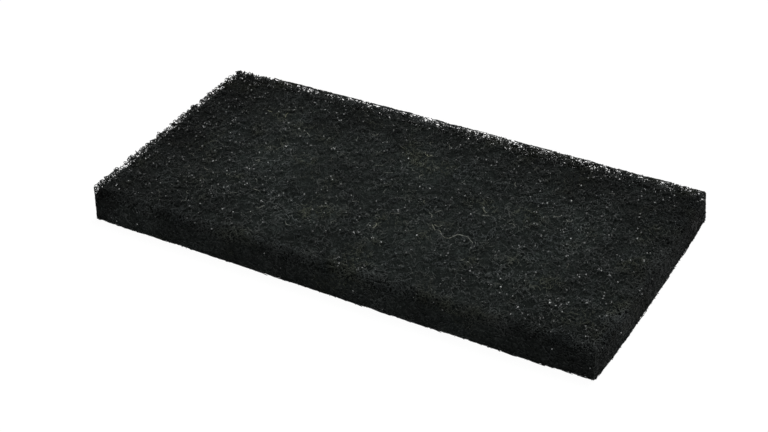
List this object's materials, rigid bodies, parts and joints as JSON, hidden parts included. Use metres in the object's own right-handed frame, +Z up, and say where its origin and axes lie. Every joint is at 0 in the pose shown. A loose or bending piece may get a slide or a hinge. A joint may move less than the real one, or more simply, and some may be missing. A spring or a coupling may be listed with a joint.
{
  "type": "abrasive hand pad",
  "caption": "Rectangular block of black non-woven web with abrasive bonded to its fibres, held in the hand to scrub, scuff or strip a surface.",
  "frame": {"origin": "on the surface that the pad lies on, under the middle of its bounding box", "axes": "+X along the length, +Y across the width, +Z up through the thickness"},
  "size_m": [0.25, 0.12, 0.016],
  "materials": {
    "web": "matt black, lofty curled fibres with scattered glinting grit"
  },
  "bodies": {
    "root": {"abrasive_pad": "web"}
  },
  "joints": []
}
